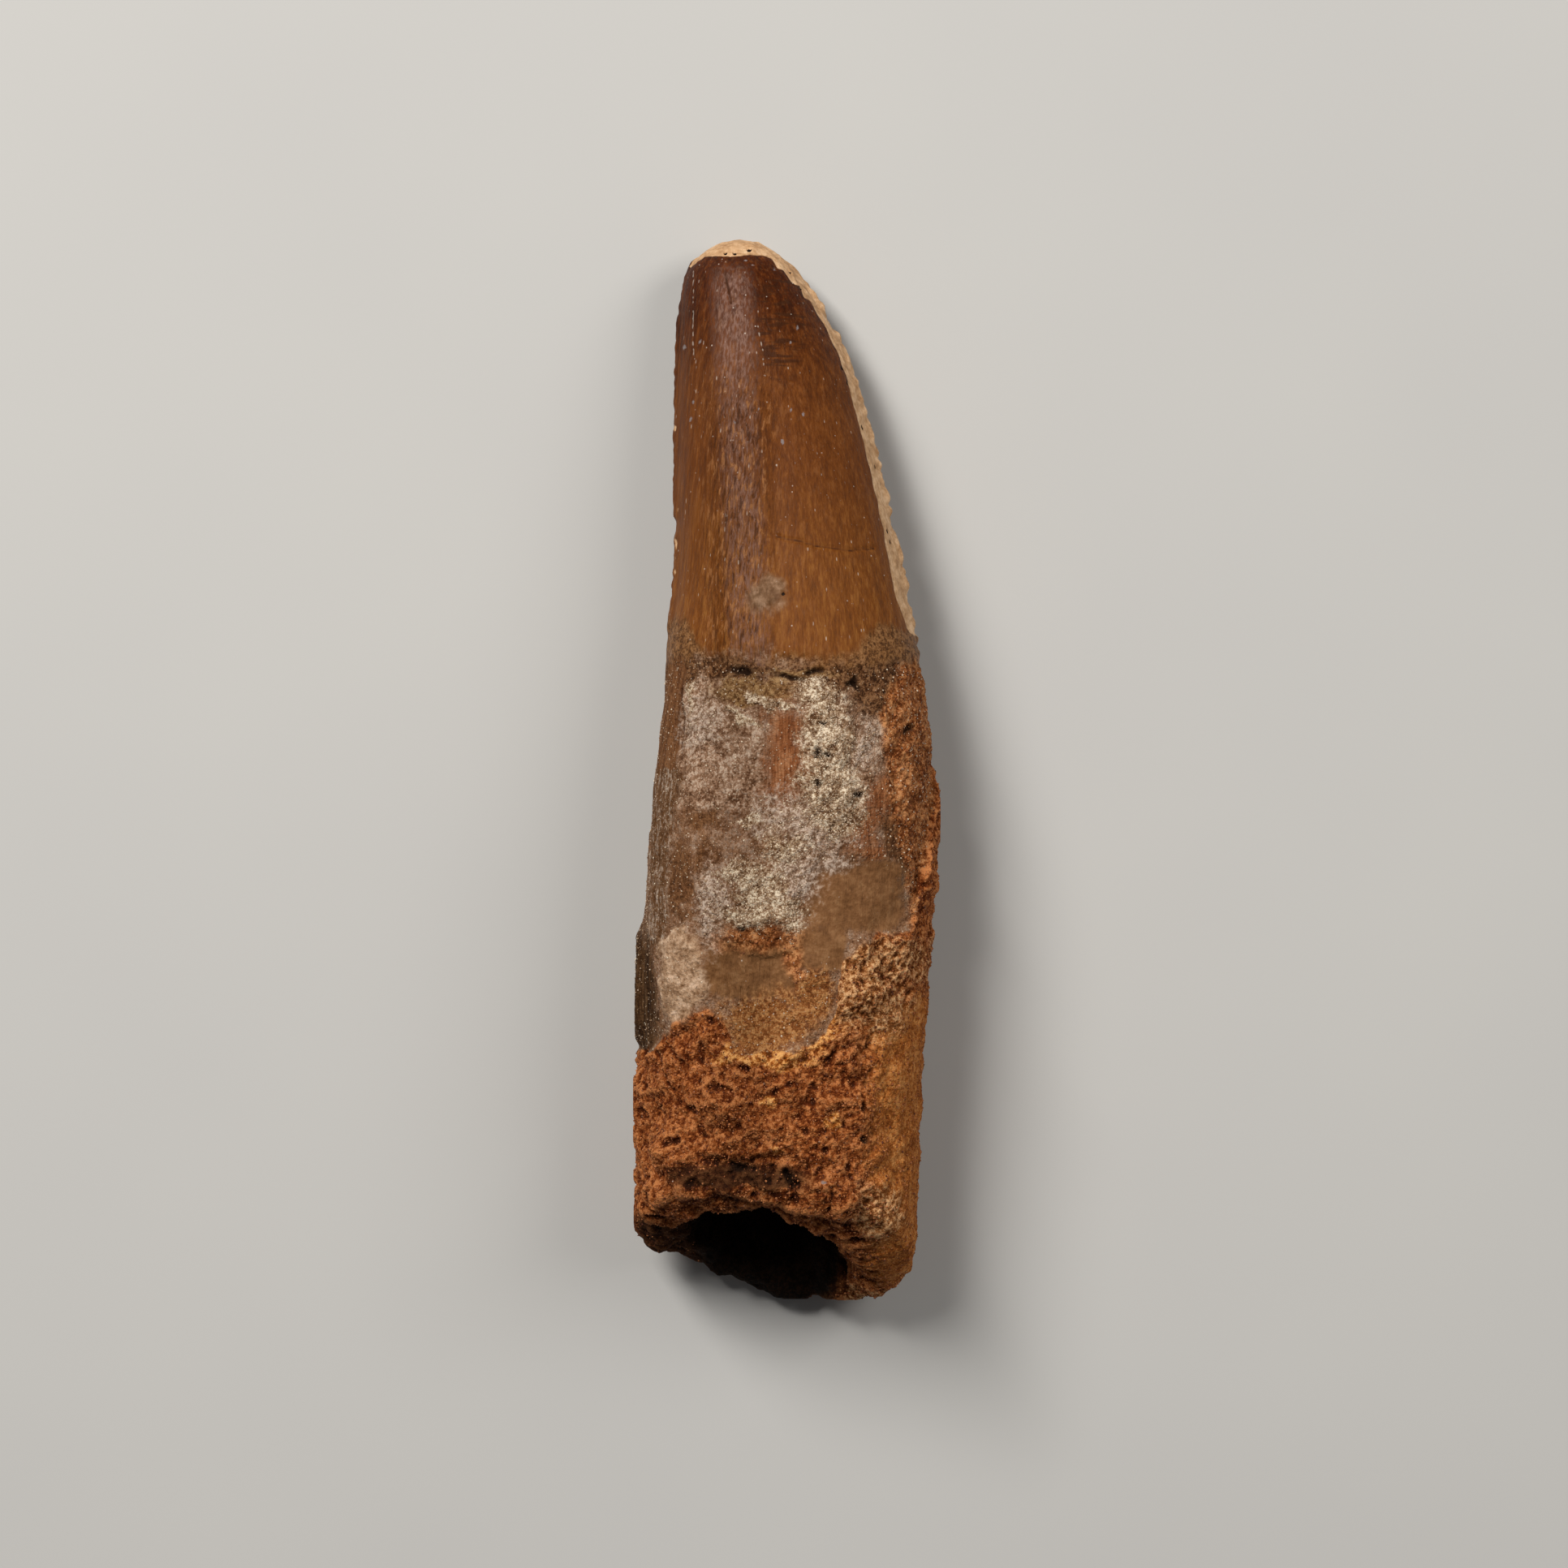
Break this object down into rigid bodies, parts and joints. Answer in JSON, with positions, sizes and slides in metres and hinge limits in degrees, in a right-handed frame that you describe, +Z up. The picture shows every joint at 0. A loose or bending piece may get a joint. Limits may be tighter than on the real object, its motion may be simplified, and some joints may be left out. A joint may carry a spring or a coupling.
{
  "type": "spinosaurus tooth",
  "caption": "Fossil tooth with a long conical enamel crown, a sand-crusted root and a hollow open at its broken end; it lies on its side.",
  "frame": {"origin": "centre of the overall box in X and Y, on the surface that the tooth lies on", "axes": "+Y along the tooth towards its worn tip, +Z up out of the face that is seen, +X towards the convex right edge"},
  "size_m": [0.0321, 0.1113, 0.0251],
  "materials": {
    "fossil_tooth": "satin brown enamel over a matt, sandy root"
  },
  "bodies": {
    "root": {"tooth": "fossil_tooth"}
  },
  "joints": []
}
